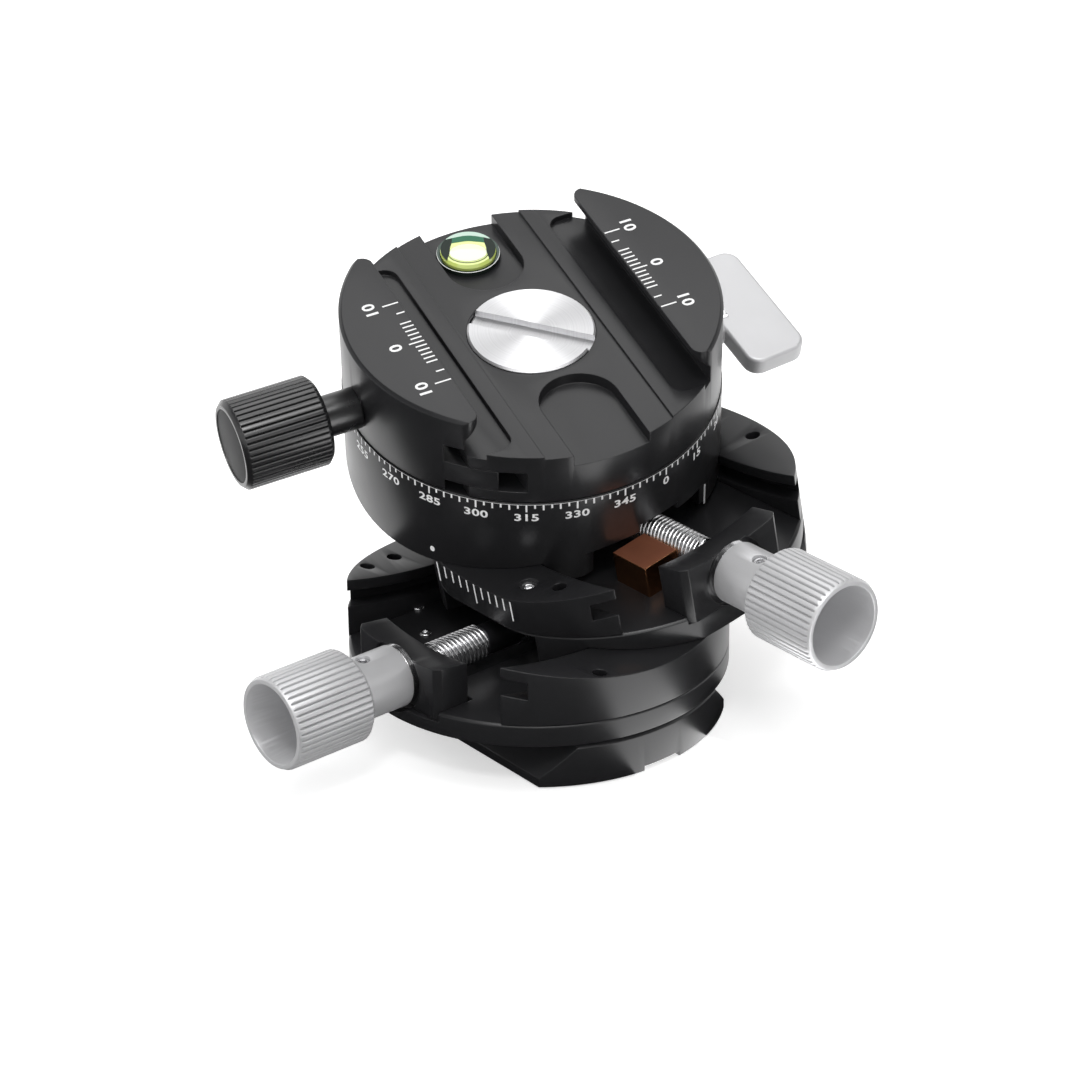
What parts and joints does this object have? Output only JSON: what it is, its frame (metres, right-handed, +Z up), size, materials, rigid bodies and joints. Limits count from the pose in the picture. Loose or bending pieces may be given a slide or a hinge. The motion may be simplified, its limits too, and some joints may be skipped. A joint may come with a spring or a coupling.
{
  "type": "panoramic tripod head",
  "caption": "Compact geared tripod head: two crossed arc stages driven by worm knobs, with a graduated panning dovetail clamp, bubble level and lock wing on top.",
  "frame": {"origin": "on the head's main axis at the underside of the foot, at the mouth of the tripod thread", "axes": "+Z up along the foot's axis, -Y out along the lower knob, +X out along the upper knob before its stage tilts"},
  "size_m": [0.0988, 0.1092, 0.0693],
  "materials": {
    "anodised_black": "satin black anodised",
    "blasted_grey": "bead blasted, clear anodised",
    "steel": "turned",
    "brass": "milled",
    "bronze": "sintered bronze",
    "level_green": "moulded",
    "level_clear": "clear, yellow-green fluid"
  },
  "bodies": {
    "base": {"base_foot": "anodised_black", "thread_insert": "steel", "foot_screws": "steel", "lower_plate": "anodised_black", "lower_rail_screws": "steel", "lower_block_screws": "steel", "lower_rail_left": "anodised_black", "lower_rail_right": "anodised_black", "lower_bearing_block": "anodised_black", "lower_tail_bearing": "anodised_black", "lower_bush": "bronze"},
    "lower_drive": {"lower_worm": "steel", "lower_knob": "blasted_grey", "lower_set_screw": "steel", "lower_thrust_washer": "bronze"},
    "mid_stage": {"mid_plate": "anodised_black", "mid_rail_screws": "steel", "upper_block_screws": "steel", "lower_arc_rack": "brass", "lower_rack_screws": "steel", "mid_rail_front": "anodised_black", "mid_rail_rear": "anodised_black", "upper_bearing_block": "anodised_black", "upper_tail_bearing": "anodised_black", "upper_brass_shoe": "brass", "shoe_screw": "steel", "upper_bush": "bronze"},
    "upper_drive": {"upper_worm": "steel", "upper_knob": "blasted_grey", "upper_set_screw": "steel", "upper_thrust_washer": "bronze"},
    "tilt_body": {"pan_housing": "anodised_black", "upper_arc_rack": "brass", "upper_rack_screws": "steel", "pan_bearing_ring": "bronze", "pan_brake_shoe": "brass"},
    "pan_lock": {"pan_lock_screw": "steel", "pan_lock_wing": "blasted_grey"},
    "clamp_disc": {"clamp_body": "anodised_black", "jaw_guide_pins": "steel", "centre_screw": "steel", "pan_spindle": "steel", "pan_retainer": "steel", "level_cup": "level_green", "level_vial": "level_clear"},
    "movable_jaw": {"movable_jaw": "anodised_black"},
    "clamp_knob": {"clamp_screw": "steel", "clamp_knob": "anodised_black", "clamp_knob_cap": "anodised_black"}
  },
  "joints": [
    {"name": "lower_tilt", "type": "hinge", "parent": "base", "child": "mid_stage", "pos_m": [0, 0, 0.1066], "axis": [1, 0, 0], "range_deg": [-11.1, 1.2]},
    {"name": "lower_knob_turn", "type": "hinge", "parent": "base", "child": "lower_drive", "pos_m": [0, 0, 0.0136], "axis": [0, -1, 0], "range_deg": [-1954, 212]},
    {"name": "upper_tilt", "type": "hinge", "parent": "mid_stage", "child": "tilt_body", "pos_m": [0, -0.00094, 0.11141], "axis": [0, 0.9813, 0.1925], "range_deg": [-13, 0]},
    {"name": "upper_knob_turn", "type": "hinge", "parent": "mid_stage", "child": "upper_drive", "pos_m": [0, 0.01552, 0.02751], "axis": [1, 0, 0], "range_deg": [-2094, 1]},
    {"name": "pan_turn", "type": "hinge", "parent": "tilt_body", "child": "clamp_disc", "pos_m": [-0.01514, 0.01168, 0.04706], "axis": [0.225, -0.1876, 0.9561], "continuous": true},
    {"name": "jaw_slide", "type": "slide", "parent": "clamp_disc", "child": "movable_jaw", "axis": [0.2718, 0.9544, 0.1233], "range_m": [-0.003, 0.002]},
    {"name": "clamp_knob_turn", "type": "hinge", "parent": "movable_jaw", "child": "clamp_knob", "pos_m": [-0.02595, -0.03057, 0.04592], "axis": [-0.2718, -0.9544, -0.1233], "range_deg": [-1081, 721]},
    {"name": "pan_lock_turn", "type": "hinge", "parent": "tilt_body", "child": "pan_lock", "pos_m": [-0.0106, 0.04169, 0.04707], "axis": [0.1859, 0.9715, 0.1469], "range_deg": [-40, 16]}
  ],
  "couplings": [
    {"joint": "lower_knob_turn", "follows": "lower_tilt", "ratio": 176},
    {"joint": "upper_knob_turn", "follows": "upper_tilt", "ratio": 161},
    {"joint": "clamp_knob_turn", "follows": "jaw_slide", "rad_per_m": 6283.2}
  ]
}
